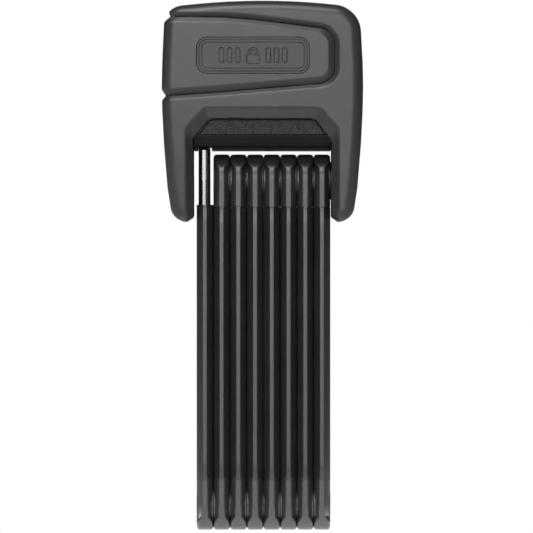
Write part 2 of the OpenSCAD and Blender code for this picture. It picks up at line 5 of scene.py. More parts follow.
import bpy
import numpy as np
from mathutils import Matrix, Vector


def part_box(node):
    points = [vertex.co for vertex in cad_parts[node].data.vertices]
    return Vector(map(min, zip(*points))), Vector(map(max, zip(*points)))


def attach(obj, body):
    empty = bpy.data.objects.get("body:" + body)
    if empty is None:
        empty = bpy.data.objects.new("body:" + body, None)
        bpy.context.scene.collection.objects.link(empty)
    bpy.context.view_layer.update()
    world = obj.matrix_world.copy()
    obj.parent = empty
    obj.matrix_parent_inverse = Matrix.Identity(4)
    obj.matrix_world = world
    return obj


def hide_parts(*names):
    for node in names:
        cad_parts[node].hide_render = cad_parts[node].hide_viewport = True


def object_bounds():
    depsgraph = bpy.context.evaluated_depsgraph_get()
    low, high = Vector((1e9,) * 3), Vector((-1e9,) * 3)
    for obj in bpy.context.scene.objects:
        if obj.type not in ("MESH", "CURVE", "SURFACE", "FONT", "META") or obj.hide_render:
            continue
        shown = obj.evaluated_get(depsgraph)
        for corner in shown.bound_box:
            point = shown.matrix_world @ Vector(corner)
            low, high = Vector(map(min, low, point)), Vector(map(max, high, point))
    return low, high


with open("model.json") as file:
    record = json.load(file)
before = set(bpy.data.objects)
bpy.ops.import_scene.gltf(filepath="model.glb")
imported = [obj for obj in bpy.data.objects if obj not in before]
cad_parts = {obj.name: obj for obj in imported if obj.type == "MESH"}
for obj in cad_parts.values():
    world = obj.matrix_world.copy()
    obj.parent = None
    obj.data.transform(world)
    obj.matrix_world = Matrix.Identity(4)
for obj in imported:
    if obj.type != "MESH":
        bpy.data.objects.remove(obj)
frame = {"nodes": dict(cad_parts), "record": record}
cad_low, cad_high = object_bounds()

MM = 0.001


def span(node):
    """Lowest and highest corner of a CAD node in millimetres, as arrays."""
    low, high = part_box(node)
    return np.array(low) / MM, np.array(high) / MM


# ---- Sizes, all in millimetres, from the frame ----
head_low, head_high = span("front_shell")
crown_z = head_high[2]
leg_z = head_low[2]
head_hd = -head_low[1]
head_hw = head_high[0]
cover_low, cover_high = span("core_cover")
core_z = cover_low[2]
core_hd = cover_high[1]
opening_hw = cover_high[0] + 0.1
cap_low, cap_high = span("link_8_caps")
end_r = cap_high[1]
low_z = end_r
high_z = cap_high[2] - end_r
stack_right = (cap_low[0] + cap_high[0]) / 2
sleeve_min, sleeve_max = span("link_8_sleeve")
sleeve_low, sleeve_high, sleeve_hw = sleeve_min[2], sleeve_max[2], sleeve_max[1]
tongue_low = span("link_1_sleeve")[1][2]
LINKS = 8
left_cap_low, left_cap_high = span("link_1_caps")
link_pitch = (stack_right - (left_cap_low[0] + left_cap_high[0]) / 2) / (LINKS - 1)
band_low, band_high = span("side_band")
badge_low, badge_high = span("badge")
flap_low, flap_high = span("key_flap")
door_low, door_high = span("battery_door")
grille_low, grille_high = span("siren_grille")
edge_r = 4.8
boss_r = 8.1


# ---- Distance fields: negative inside, in millimetres ----
def arc(x, z, r, a, b, n):
    """Points on a circle about (x, z), from angle a to angle b in n steps."""
    t = np.radians(np.linspace(a, b, n + 1))
    return list(zip(x + r * np.cos(t), z + r * np.sin(t)))


def polygon_distance(x, z, points):
    """Signed distance from (x, z) to a closed polygon."""
    pts = np.asarray(points, float)
    x, z = np.broadcast_arrays(x, z)
    best = np.full(x.shape, 1e9)
    inside = np.zeros(x.shape, bool)
    for (ax, az), (bx, bz) in zip(pts, np.roll(pts, -1, axis=0)):
        ex, ez = bx - ax, bz - az
        wx, wz = x - ax, z - az
        t = np.clip((wx * ex + wz * ez) / (ex * ex + ez * ez), 0, 1)
        best = np.minimum(best, (wx - t * ex) ** 2 + (wz - t * ez) ** 2)
        crosses = (az > z) != (bz > z)
        if ez != 0:
            inside ^= crosses & (x < ax + (z - az) * ex / ez)
    return np.where(inside, -1, 1) * np.sqrt(best)


def soft_max(a, b, k):
    """Larger of two distances, rounded over a width of k where they meet."""
    h = np.clip(k - np.abs(a - b), 0, None) / k
    return np.maximum(a, b) + h * h * k * 0.25


def soft_min(a, b, k):
    """Smaller of two distances, rounded in the same way."""
    return -soft_max(-a, -b, k)


def box_distance(x, y, z, low, high, r=0.0):
    """Signed distance to a box with its edges rounded by r."""
    qx = np.abs(x - (low[0] + high[0]) / 2) - (high[0] - low[0]) / 2 + r
    qy = np.abs(y - (low[1] + high[1]) / 2) - (high[1] - low[1]) / 2 + r
    qz = np.abs(z - (low[2] + high[2]) / 2) - (high[2] - low[2]) / 2 + r
    out = np.sqrt(np.maximum(qx, 0) ** 2 + np.maximum(qy, 0) ** 2 + np.maximum(qz, 0) ** 2)
    return out + np.minimum(np.maximum(np.maximum(qx, qy), qz), 0) - r


def round_edges(flat, depth, r):
    """Joins a flat outline's distance and a depth's distance with a fillet of radius r."""
    a, b = flat + r, depth + r
    return np.minimum(np.maximum(a, b), 0) + np.hypot(np.maximum(a, 0), np.maximum(b, 0)) - r


def rod_y(x, z, cx, cz, r):
    """Distance to an endless round rod along y; rod_x below lies along x."""
    return np.hypot(x - cx, z - cz) - r


def rod_x(y, z, cy, cz, r):
    return np.hypot(y - cy, z - cz) - r


def skin(name, field, low, high, step):
    """A smooth closed mesh where field is 0: surface nets on a grid, then moved onto the true surface."""
    axes = [np.arange(a - 1.5 * step, b + 2.5 * step, step) for a, b in zip(low, high)]
    gx, gy, gz = axes[0][:, None, None], axes[1][None, :, None], axes[2][None, None, :]
    f = np.broadcast_to(field(gx, gy, gz), [len(a) for a in axes]).astype(np.float32)
    inside = f < 0
    shape = np.array(f.shape)
    cells, points, quads = [], [], []
    for axis in range(3):
        first = [slice(None)] * 3
        second = [slice(None)] * 3
        first[axis] = slice(0, -1)
        second[axis] = slice(1, None)
        i, j, k = np.nonzero(inside[tuple(first)] != inside[tuple(second)])
        index = np.stack([i, j, k], 1)
        after = index.copy()
        after[:, axis] += 1
        fa = f[i, j, k]
        fb = f[after[:, 0], after[:, 1], after[:, 2]]
        t = fa / (fa - fb)
        p = np.stack([axes[n][index[:, n]] for n in range(3)], 1)
        p[:, axis] += t * step
        u, v = (axis + 1) % 3, (axis + 2) % 3
        ring = []
        for du, dv in ((-1, -1), (0, -1), (0, 0), (-1, 0)):
            c = index.copy()
            c[:, u] += du
            c[:, v] += dv
            ring.append((c[:, 0] * shape[1] + c[:, 1]) * shape[2] + c[:, 2])
            cells.append(ring[-1])
            points.append(p)
        ring = np.stack(ring, 1)
        flip = ~inside[i, j, k]
        ring[flip] = ring[flip][:, ::-1]
        quads.append(ring)
    cells = np.concatenate(cells)
    points = np.concatenate(points)
    quads = np.concatenate(quads)
    used, where = np.unique(cells, return_inverse=True)
    count = np.bincount(where)
    verts = np.stack([np.bincount(where, points[:, n]) / count for n in range(3)], 1)
    quads = np.searchsorted(used, quads)
    slope = gradient(field, verts)
    for _ in range(2):
        x, y, z = verts.T
        verts = verts - np.clip(field(x, y, z), -step / 2, step / 2)[:, None] * slope
    return mesh_piece(name, verts, quads, gradient(field, verts))


def gradient(field, verts):
    """Unit direction in which the field grows, at each vertex."""
    probe = 0.04
    out = []
    for n in range(3):
        ahead, behind = verts.copy(), verts.copy()
        ahead[:, n] += probe
        behind[:, n] -= probe
        out.append(field(*ahead.T) - field(*behind.T))
    g = np.stack(out, 1)
    return g / np.maximum(np.linalg.norm(g, axis=1, keepdims=True), 1e-9)


def mesh_piece(name, verts, faces, normals=None):
    """A smooth-shaded object from vertices in millimetres."""
    mesh = bpy.data.meshes.new(name)
    mesh.from_pydata((np.asarray(verts) * MM).tolist(), [], [list(map(int, f)) for f in faces])
    mesh.update()
    mesh.polygons.foreach_set("use_smooth", [True] * len(mesh.polygons))
    if normals is not None:
        mesh.normals_split_custom_set_from_vertices(np.asarray(normals).tolist())
    obj = bpy.data.objects.new(name, mesh)
    bpy.context.scene.collection.objects.link(obj)
    return obj


def place(obj, body, slot, *nodes):
    """Puts a finished piece on its body, in place of its CAD nodes."""
    obj.data.materials.append(material(slot))
    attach(obj, body)
    if nodes:
        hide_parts(*nodes)
    return obj


# ---- Materials ----
def noise(tree, coords, scale, detail=3.0, rough=0.55):
    node = tree.nodes.new("ShaderNodeTexNoise")
    node.inputs["Scale"].default_value = scale
    node.inputs["Detail"].default_value = detail
    node.inputs["Roughness"].default_value = rough
    tree.links.new(coords, node.inputs["Vector"])
    return node.outputs["Fac"]


def spread(tree, value, low, high, from_low=0.3, from_high=0.7):
    """Maps a texture value onto the range low to high."""
    node = tree.nodes.new("ShaderNodeMapRange")
    node.inputs["From Min"].default_value = from_low
    node.inputs["From Max"].default_value = from_high
    node.inputs["To Min"].default_value = low
    node.inputs["To Max"].default_value = high
    tree.links.new(value, node.inputs["Value"])
    return node.outputs["Result"]


def mix(tree, factor, a, b):
    node = tree.nodes.new("ShaderNodeMix")
    node.data_type = "RGBA"
    tree.links.new(factor, node.inputs["Factor"])
    for socket, colour in (("A", a), ("B", b)):
        target = [s for s in node.inputs if s.name == socket and s.type == "RGBA"][0]
        if isinstance(colour, tuple):
            target.default_value = (*colour, 1)
        else:
            tree.links.new(colour, target)
    return [s for s in node.outputs if s.type == "RGBA"][0]


def stretched(tree, coords, scale):
    node = tree.nodes.new("ShaderNodeMapping")
    node.inputs["Scale"].default_value = scale
    tree.links.new(coords, node.inputs["Vector"])
    return node.outputs["Vector"]


LOOKS = {
    # slot: colour, second colour, roughness low and high, metallic,
    # grain per metre, stretch, bump depth in mm, specular
    "shell_plastic": ((0.022, 0.0225, 0.023), (0.027, 0.0275, 0.028), 0.36, 0.43, 0,
                      5200, (1, 1, 1), 0.010, 0.5),
    "band_plastic": ((0.024, 0.0245, 0.025), (0.029, 0.0295, 0.030), 0.36, 0.43, 0,
                     5200, (1, 1, 1), 0.010, 0.5),
    "badge_plastic": ((0.024, 0.0245, 0.025), (0.029, 0.0295, 0.030), 0.42, 0.50, 0,
                      5200, (1, 1, 1), 0.010, 0.5),
    "seal_rubber": ((0.008, 0.008, 0.008), (0.012, 0.012, 0.012), 0.6, 0.75, 0,
                    4000, (1, 1, 1), 0.01, 0.3),
    "cover_plastic": ((0.007, 0.007, 0.007), (0.010, 0.010, 0.010), 0.40, 0.55, 0,
                      1500, (1, 1, 0.7), 0.12, 0.33),
    # Darker, less glossy copy of cover_plastic for the roll below the seam: partly its own smoother finish,
    # partly painted shade for its place under the head.
    "cover_roll_smooth_painted_shade": ((0.005, 0.005, 0.005), (0.007, 0.007, 0.007), 0.42, 0.5, 0,
                   3500, (1, 1, 1), 0.008, 0.14),
    "cap_plastic": ((0.026, 0.0265, 0.027), (0.032, 0.0325, 0.033), 0.30, 0.37, 0,
                    4200, (1, 1, 1), 0.008, 0.58),
    "sleeve_soft": ((0.014, 0.014, 0.014), (0.019, 0.019, 0.019), 0.27, 0.36, 0,
                    3000, (1, 1, 0.02), 0.012, 0.62),
    "dark_plastic": ((0.012, 0.012, 0.0125), (0.018, 0.018, 0.0185), 0.4, 0.55, 0,
                     3500, (1, 1, 1), 0.012, 0.5),
    "flap_plastic": ((0.018, 0.018, 0.0185), (0.024, 0.024, 0.0245), 0.4, 0.5, 0,
                     3500, (1, 1, 1), 0.012, 0.5),
    "frame_steel": ((0.30, 0.31, 0.32), (0.42, 0.43, 0.44), 0.28, 0.42, 1,
                    900, (1, 1, 0.05), 0.006, 0.5),
    "link_steel": ((0.30, 0.31, 0.32), (0.42, 0.43, 0.44), 0.28, 0.42, 1,
                   900, (1, 1, 0.05), 0.006, 0.5),
    "tongue_steel": ((0.20, 0.205, 0.21), (0.25, 0.255, 0.26), 0.24, 0.30, 1,
                     1800, (1, 1, 0.03), 0.002, 0.5),
    "rivet_steel": ((0.20, 0.20, 0.205), (0.30, 0.30, 0.305), 0.25, 0.4, 1,
                    2500, (1, 1, 1), 0.006, 0.5),
    "screw_steel": ((0.06, 0.06, 0.06), (0.10, 0.10, 0.10), 0.3, 0.45, 1,
                    2500, (1, 1, 1), 0.006, 0.5),
    "brass": ((0.030, 0.024, 0.014), (0.045, 0.036, 0.021), 0.3, 0.45, 1,
              1500, (0.05, 1, 1), 0.006, 0.5),
    "plug_brass": ((0.45, 0.42, 0.35), (0.55, 0.52, 0.44), 0.2, 0.32, 1,
                   1500, (1, 1, 1), 0.004, 0.5),
    "board_green": ((0.012, 0.09, 0.045), (0.02, 0.13, 0.07), 0.2, 0.3, 0,
                    2500, (1, 1, 1), 0.01, 0.5),
    "battery_can": ((0.35, 0.35, 0.37), (0.48, 0.48, 0.50), 0.25, 0.38, 1,
                    800, (0.05, 1, 1), 0.004, 0.5),
    "contact_metal": ((0.5, 0.5, 0.48), (0.6, 0.6, 0.58), 0.15, 0.25, 1,
                      1500, (1, 1, 0.1), 0.003, 0.5),
}


def material(slot):
    """The procedural material of a slot: drifting colour, uneven gloss, fine bump and paler edges."""
    name = "worked_" + slot
    if name in bpy.data.materials:
        return bpy.data.materials[name]
    dark, light, rough_low, rough_high, metal, grain, stretch, depth, specular = LOOKS[slot]
    mat = bpy.data.materials.new(name)
    mat.use_nodes = True
    tree = mat.node_tree
    shader = tree.nodes["Principled BSDF"]
    shader.inputs["Metallic"].default_value = metal
    shader.inputs["Specular IOR Level"].default_value = specular
    coords = tree.nodes.new("ShaderNodeTexCoord").outputs["Object"]
    fine = noise(tree, stretched(tree, coords, stretch), grain)
    broad = noise(tree, coords, 60, 2.0)
    colour = mix(tree, spread(tree, broad, 0, 1), dark, light)
    # Handling rubs a convex edge a little paler.
    worn = spread(tree, tree.nodes.new("ShaderNodeNewGeometry").outputs["Pointiness"], 0, 0.35, 0.53, 0.62)
    colour = mix(tree, worn, colour, tuple(min(1, c * 1.5 + 0.004) for c in light))
    tree.links.new(colour, shader.inputs["Base Color"])
    tree.links.new(spread(tree, fine, rough_low, rough_high), shader.inputs["Roughness"])
    bump = tree.nodes.new("ShaderNodeBump")
    bump.inputs["Distance"].default_value = depth * MM
    bump.inputs["Strength"].default_value = 1.0
    tree.links.new(fine, bump.inputs["Height"])
    tree.links.new(bump.outputs["Normal"], shader.inputs["Normal"])
    return mat


# ---- Head ----
CROWN_R = 281
CORNER_R = 11.7
CORNER_X = 29.7
corner_z = crown_z - CROWN_R + math.sqrt((CROWN_R - CORNER_R) ** 2 - CORNER_X ** 2)
crown_half = math.degrees(math.asin(CORNER_X / (CROWN_R - CORNER_R)))
LEG_R = 6.7
side_x = 38.7
right_side = (
    [(opening_hw, leg_z + 2), (side_x - LEG_R, leg_z)]
    + arc(side_x - LEG_R, leg_z + LEG_R, LEG_R, -80, -6, 8)
    + [(39.9, 144.3), (41.4, 163), (42.1, 177), (head_hw, 187), (42.1, 197)]
    + arc(CORNER_X, corner_z, CORNER_R, 4, 90 - crown_half, 12)
)
crown = arc(0, crown_z - CROWN_R, CROWN_R, 90 - crown_half, 90 + crown_half + 0.5, 16)
# The left upper corner is tighter than the right one.
left_side = (
    arc(-32.9, 212.6, 8.5, 97, 175, 10)
    + [(-42.1, 197)] + [(-x, z) for x, z in reversed(right_side) if z < 190]
)
outline = right_side + crown[1:-1] + left_side

BELOW = leg_z - 20


def mirrored(half):
    """Closed outline from its right half, which runs from the bottom to the top."""
    return half + [(-x, z) for x, z in reversed(half)]


# Opening between the legs: at its narrowest, and where it meets the front and back faces.
OPENING = mirrored([
    (opening_hw, BELOW), (opening_hw, 162.6), (28.4, 164.9), (26.9, 167.1),
    (23.4, 171.8), (22.3, 172.9), (20.6, 173.4),
])
face_hw = opening_hw + 3.2
FACE_OPENING = mirrored([
    (face_hw, BELOW), (face_hw, 168.2), (face_hw - 0.6, 169.8), (24.8, 177.3), (23.2, 177.9),
])
FLARE_D = 4

BAND_CORNER = 4.2
BAND_RIGHT = 27.5
BAND_RIGHT_BACK = -6


def band_outline(right):
    """Edge of the side band's face; right is where its blunt end lies."""
    shift = right - BAND_RIGHT
    round_x = right - BAND_CORNER
    return (
        [(-80, 184.6), (-37.3, 186), (-16.4 + shift / 3, 187.5), (8.2 + shift * 0.8, 189.6)]
        + arc(round_x, 190.9 + BAND_CORNER, BAND_CORNER, -84, 0, 7)
        + arc(round_x, 208.6 - BAND_CORNER, BAND_CORNER, 0, 80, 7)
        + [(8.2 + shift * 0.8, 210.6), (-4.1 + shift / 2, 212.1), (-16.4 + shift / 3, 213.1),
           (-37, 213.3), (-80, 213.3)]
    )


BAND_FRONT = band_outline(BAND_RIGHT)
BAND_BACK = band_outline(BAND_RIGHT_BACK)
BAND_GROWTH = 0.4
# The groove round the band: widths of its two slopes, depth, and rounding of its edges.
INNER_SLOPE = 2.5
OUTER_SLOPE = 1.9
GROOVE_D = 1.7
GROOVE_SOFT = 0.22


def band_distance(x, y, z):
    """Distance from the band's edge, measured with the front's or the back's outline."""
    front = polygon_distance(x, z, BAND_FRONT) - BAND_GROWTH
    back = polygon_distance(x, z, BAND_BACK) - BAND_GROWTH
    return np.where(y < 0, front + 0 * y, back + 0 * y)


def groove_depth(d):
    """Depth of the groove at distance d outside the band's edge."""
    v = soft_min(d / INNER_SLOPE, (INNER_SLOPE + OUTER_SLOPE - d) / OUTER_SLOPE, GROOVE_SOFT)
    return GROOVE_D * soft_max(v, 0 * v, GROOVE_SOFT)


# The front face is flat between these heights and falls back beyond them, on these radii.
FLAT_LOW, FLAT_HIGH = 194, 201
LOWER_FACE_R, UPPER_FACE_R = 1200, 300


def face_fall(x, y, z):
    """How far the front face falls back above and below its flat part, more so towards the left."""
    left = -x / 40
    below = np.clip(FLAT_LOW - z, 0, None) ** 2 / (2 * LOWER_FACE_R) * (1 + 1.5 * np.clip(left, -0.3, 1))
    above = np.clip(z - FLAT_HIGH, 0, None) ** 2 / (2 * UPPER_FACE_R) * (1 + 0.6 * np.clip(left, -1, 0))
    return np.where(y < 0, below + above, 0)


def head_distance(x, y, z, shrink=0.0):
    """Distance to the head's outer form, without its opening; shrink moves its sides inwards."""
    flat = polygon_distance(x, z, outline) + shrink
    return round_edges(flat, np.abs(y) - head_hd + face_fall(x, y, z) + shrink, edge_r)


def opening_distance(x, y, z):
    """Negative in the opening between the legs, which flares towards both faces."""
    depth = np.clip((np.abs(y) + face_fall(x, y, z) - (head_hd - FLARE_D)) / FLARE_D, 0, 1.3)
    inner, face = polygon_distance(x, z, OPENING), polygon_distance(x, z, FACE_OPENING)
    return (inner + (face - inner) * depth) * 0.8


# Case screws: places on the back, radii of head and shank, and the heads' seat.
SCREWS = [(3, 214.6), (33.4, 214.6), (-33.8, 134.6), (33.8, 134.6)]
SCREW_HEAD_R, SCREW_R, SCREW_SEAT_Y = 2.6, 1.5, 19.4

# Rooms inside the shells: lowest corner, highest corner and edge radius.
ROOM_HW, ROOM_HD, LEG_ROOM_HD = 36.8, 16.9, 14
ROOMS = [
    ((-opening_hw - 0.05, -core_hd - 0.2, 150), (opening_hw + 0.05, core_hd + 0.2, 177), 0),
    ((-ROOM_HW, -ROOM_HD, 176.9), (ROOM_HW, ROOM_HD, 211), 2),
    ((-29, -ROOM_HD, 200), (29, ROOM_HD, 219), 2),
    ((-ROOM_HW, -LEG_ROOM_HD, 137.6), (-31.2, LEG_ROOM_HD, 178), 0),
    ((31.2, -LEG_ROOM_HD, 137.6), (ROOM_HW, LEG_ROOM_HD, 178), 0),
]
CYLINDER_Z, CYLINDER_HOLE_R = 199.6, 9.55
BAND_SEAT_D = 2.9


def shell_field(x, y, z):
    """Both shells in one: outer form with groove and opening, minus what is inside."""
    band = band_distance(x, y, z)
    d = head_distance(x, y, z) + groove_depth(band)
    d = soft_max(d, -opening_distance(x, y, z), 0.6)
    # Seat of the band, inside the groove's bottom.
    seat_hd = head_hd - BAND_SEAT_D
    inner = box_distance(x, y, z, (-39.4, -seat_hd, BELOW), (2 * head_hw, seat_hd, 2 * crown_z))
    d = np.maximum(d, -np.maximum(band - INNER_SLOPE - 0.06, -inner))
    for low, high, corner in ROOMS:
        d = np.maximum(d, -box_distance(x, y, z, low, high, corner))
    d = np.maximum(d, -np.maximum(rod_x(y, z, 0, CYLINDER_Z, CYLINDER_HOLE_R), x + 30))
    # Seat of the first hinge's bush in the right leg.
    return np.maximum(d, -np.maximum(rod_x(y, z, 0, high_z, boss_r + 0.1), np.abs(x - 30.5) - 2))


def front_shell():
    def field(x, y, z):
        return soft_max(shell_field(x, y, z), y + 0.4, 0.35)
    place(skin("front_shell_skin", field, head_low, (head_hw, 0, crown_z), 0.55),
          "head", "shell_plastic", "front_shell")


def back_shell():
    """Rear half, with the battery's room and the seats of the door, the grille and the screws."""
    door_gap = 0.2
    grille_x, grille_z = (grille_low[0] + grille_high[0]) / 2, (grille_low[2] + grille_high[2]) / 2
    grille_seat_r = 8.25

    def field(x, y, z):
        d = soft_max(shell_field(x, y, z), -y + 0.4, 0.35)
        pocket = box_distance(x, y, z, (door_low[0] - door_gap, 19.6, door_low[2] - door_gap),
                              (door_high[0] + door_gap, 30, door_high[2] + door_gap), 1.2)
        d = soft_max(d, -pocket, 0.3)
        d = np.maximum(d, -box_distance(x, y, z, (11, 10, 187.5), (31.8, 30, 198.5)))
        for cx, cz in SCREWS:
            d = soft_max(d, -np.maximum(rod_y(x, z, cx, cz, SCREW_HEAD_R), SCREW_SEAT_Y - y), 0.3)
            d = np.maximum(d, -rod_y(x, z, cx, cz, SCREW_R))
        return soft_max(d, -rod_y(x, z, grille_x, grille_z, grille_seat_r), 0.4)
    place(skin("back_shell_skin", field, (-head_hw, 0, leg_z), (head_hw, head_hd, crown_z), 0.55),
          "head", "shell_plastic", "back_shell")


def shell_seal():
    """Flat gasket between the shells, a little inside their outer edge."""
    setback, seal_ht = 0.45, 0.38

    def field(x, y, z):
        band = band_distance(x, y, z)
        d = head_distance(x, y, z, setback) + groove_depth(band)
        d = np.maximum(d, np.abs(y) - seal_ht)
        d = np.maximum(d, -opening_distance(x, y, z) + 0.4)
        d = np.maximum(d, -box_distance(x, y, z, (-ROOM_HW, -2, 137.6), (ROOM_HW, 2, 211), 1))
        d = np.maximum(d, -box_distance(x, y, z, (-29, -2, 180), (29, 2, 219), 1))
        return np.maximum(d, -(band - INNER_SLOPE - 0.1))
    place(skin("shell_seal_skin", field, (-head_hw, -0.6, leg_z), (head_hw, 0.6, crown_z), 0.35),
          "head", "seal_rubber", "shell_seal")


def side_band():
    """Cover that wraps the left side, with a window for the key flap and a seat for the badge."""
    wall = 2.8
    flap_gap = 0.25

    def field(x, y, z):
        band = band_distance(x, y, z)
        d = head_distance(x, y, z) + groove_depth(band)
        d = soft_max(d, band - INNER_SLOPE + 0.06, 0.2)
        inner_hd = head_hd - wall
        inner = box_distance(x, y, z, (-39.3, -inner_hd, BELOW), (2 * head_hw, inner_hd, 2 * crown_z))
        d = np.maximum(d, -inner)
        window = box_distance(x, y, z, (-60, flap_low[1] - flap_gap, flap_low[2] - flap_gap),
                              (-30, flap_high[1] + flap_gap, flap_high[2] + 0.3), 1.0)
        d = soft_max(d, -window, 0.4)
        return np.maximum(d, -badge_field(x, y, z, 0.08))
    place(skin("side_band_skin", field, (-head_hw, -head_hd, band_low[2]),
               (band_high[0] + 1, head_hd, band_high[2]), 0.45), "head", "band_plastic", "side_band")


badge_x, badge_z = (badge_low[0] + badge_high[0]) / 2, (badge_low[2] + badge_high[2]) / 2
badge_hw, badge_hh = (badge_high[0] - badge_low[0]) / 2, (badge_high[2] - badge_low[2]) / 2
BADGE_CORNER = 4.4
LINE_W = 0.34


def badge_edge(x, z, inset=0.0):
    """Distance from the badge's rounded outline, moved inwards by inset."""
    corner = BADGE_CORNER - inset
    qx = np.abs(x - badge_x) - badge_hw + inset + corner
    qz = np.abs(z - badge_z) - badge_hh + inset + corner
    return np.hypot(np.maximum(qx, 0), np.maximum(qz, 0)) + np.minimum(np.maximum(qx, qz), 0) - corner


def badge_field(x, y, z, grow=0.0):
    """Rounded inlay of the side band's front face; its seat is this form grown, and open in front."""
    depth = np.maximum(badge_low[1] - y - 8 * (grow > 0), y - badge_high[1] - grow)
    return np.maximum(badge_edge(x, z) - grow, depth)


def badge():
    """Inlay with two frame lines and a sign, all cut as fine lines into its face."""
    cut_d = 0.35

    def sign(x, z):
        """Plain padlock with three link-shaped bars on each side."""
        body = box_distance(x, 0, z, (badge_x - 2.7, -1, badge_z - 3.5),
                            (badge_x + 2.7, 1, badge_z + 0.4), 0.7)
        shackle = np.abs(np.hypot(x - badge_x, z - badge_z - 1.0) - 1.75) - 0.42
        d = np.minimum(body, np.maximum(shackle, badge_z + 0.2 - z))
        for i in (1, 2, 3):
            for side in (-1, 1):
                bar_x = badge_x + side * (3.0 + i * 3.4)
                d = np.minimum(d, np.hypot(x - bar_x, np.maximum(np.abs(z - badge_z) - 2.2, 0)) - 0.95)
        return d

    def field(x, y, z):
        line = np.minimum(np.abs(badge_edge(x, z, 0.9)), np.abs(badge_edge(x, z, 2.1)))
        cut = np.minimum(line, np.abs(sign(x, z))) - LINE_W / 2
        return np.maximum(badge_field(x, y, z), -np.maximum(cut, y - badge_low[1] - cut_d))
    place(skin("badge_skin", field, badge_low, badge_high, 0.17), "head", "badge_plastic", "badge")


def core_cover():
    """Textured band above a seam, and below it a smooth roll with a fine line and a thin lip."""
    fillet = 6.4
    seam_z = core_z + 6.5
    line_z = core_z + 2.9
    # The channel in which the parked tongue's tip lies.
    channel_left, channel_right = -27.2, -21.35

    def whole(x, y, z):
        d = round_edges(np.abs(y) - core_hd, core_z + 0.35 - z, fillet)
        # A step inwards at the seam and a smaller one at the line.
        d = d + 0.35 * np.clip((seam_z - z) / 0.5 + 0.5, 0, 1)
        d = d + 0.18 * np.clip((line_z - z) / 0.3 + 0.5, 0, 1)
        lip = box_distance(x, y, z, (-40, -core_hd + 5.6, core_z), (40, core_hd - 5.6, core_z + 2), 0.3)
        d = soft_min(d, lip, 0.5)
        d = soft_max(d, np.abs(x) - opening_hw + 0.1, 0.3)
        d = np.maximum(d, z - cover_high[2])
        d = np.maximum(d, -box_distance(x, y, z, (-28.7, -15.4, 163.6), (28.7, 15.4, 190)))
        way = box_distance(x, y, z, (channel_left, -40, 140), (channel_right, 40, core_z + 1.5), 0.1)
        well = box_distance(x, y, z, (channel_left, -11.6, 140), (channel_right, 11.6, 190), 0.4)
        return soft_max(d, -np.minimum(way, well), 0.15)

    def band(x, y, z):
        # Hammered dents of two sizes that drift out of step with each other.
        drift = 1.6 * np.sin(0.9 * x + 1.1 * z) + 0.9 * np.sin(2.3 * z - 0.6 * x)
        dents = np.sin(3.4 * x + drift) * np.sin(2.7 * z + 1.3 * np.sin(1.7 * x))
        dents = dents + 0.5 * np.sin(5.3 * x - 2.1 * z + drift) * np.sin(4.3 * z + 2.1 * x)
        outside = np.clip((np.abs(y) - core_hd + 2) / 0.5, 0, 1)
        # The surface drops away along the shells' edge, which leaves a shadow gap.
        gap = np.clip((polygon_distance(x, z, OPENING) + 0.7) / 0.3, 0, 1)
        relief = outside * (0.09 * (1 + dents) + 1.3 * gap)
        return soft_max(whole(x, y, z) + relief, seam_z - z, 0.2)

    def roll(x, y, z):
        return np.maximum(whole(x, y, z), z - seam_z)
    place(skin("core_cover_band", band, (cover_low[0], cover_low[1], seam_z), cover_high, 0.3),
          "head", "cover_plastic", "core_cover")
    lower = skin("core_cover_roll", roll, cover_low, (cover_high[0], cover_high[1], seam_z), 0.4)
    place(lower, "head", "cover_plastic", "core_cover")
    # The roll takes the darker, less glossy copy of the cover's material: painted shade under the head, on
    # top of its smoother finish.
    lower.data.materials[0] = material("cover_roll_smooth_painted_shade")


def key_flap():
    """Hinged cover of the keyway, with a knuckle round its pin."""
    pin_x, pin_z = (flap_low[0] + flap_high[0]) / 2, 208.2
    knuckle_r, pin_r = 0.75, 0.45

    def field(x, y, z):
        d = box_distance(x, y, z, flap_low, (flap_high[0], flap_high[1], pin_z), 0.45)
        knuckle = np.maximum(rod_y(x, z, pin_x, pin_z, knuckle_r), np.abs(y) - flap_high[1])
        d = soft_min(d, knuckle, 0.3)
        # A shallow dish for the finger near the free edge.
        dish = np.hypot(np.hypot(y, (z - flap_low[2] - 8.6)), (x - flap_low[0] + 11.6)) - 12.0
        d = soft_max(d, -dish, 0.3)
        return np.maximum(d, -rod_y(x, z, pin_x, pin_z, pin_r))
    place(skin("key_flap_skin", field, flap_low, flap_high, 0.22), "key_flap", "flap_plastic", "key_flap")


def battery_door():
    """Door with two sunk screws and four grip grooves."""
    screw_x, screw_z, screw_r, seat_y = (9.7, 33.1), 193, 1.25, 21

    def field(x, y, z):
        d = box_distance(x, y, z, door_low, door_high, 1.0)
        for cx in screw_x:
            d = np.maximum(d, -np.maximum(rod_y(x, z, cx, screw_z, screw_r), seat_y - y))
        for i in range(4):
            left = 16 + i * 3.2
            groove = box_distance(x, y, z, (left, 21.35, 189), (left + 1.4, 30, 197), 0.6)
            d = soft_max(d, -groove, 0.25)
        return d
    place(skin("battery_door_skin", field, door_low, door_high, 0.28), "head", "dark_plastic", "battery_door")


# ---- Links ----
# Links stand nearly face to face. Their section: half thickness, half width of the flat
# sides, half thickness of the narrow edge, and the slope of the chamfers between them.
LINK_HT = link_pitch / 2 - 0.004
CAP_FLAT = 7.1
CAP_EDGE_HT = 1.15
CHAMFER = (LINK_HT - CAP_EDGE_HT) / (end_r - CAP_FLAT)
# The steel plate inside: half thickness, half width of its flat, half width.
PLATE_HT, PLATE_FLAT, PLATE_HW = 2.45, 7.0, 10.1


def bar_distance(x, y, half_t, flat, soft=0.7):
    """Six-sided section: flat sides, chamfers and a narrow edge, all softly rounded."""
    nx, ny = 1 / math.hypot(1, CHAMFER), CHAMFER / math.hypot(1, CHAMFER)
    slope = (np.abs(x) - half_t) * nx + (np.abs(y) - flat) * ny
    return soft_max(np.abs(x) - half_t + 0 * y, slope, soft)


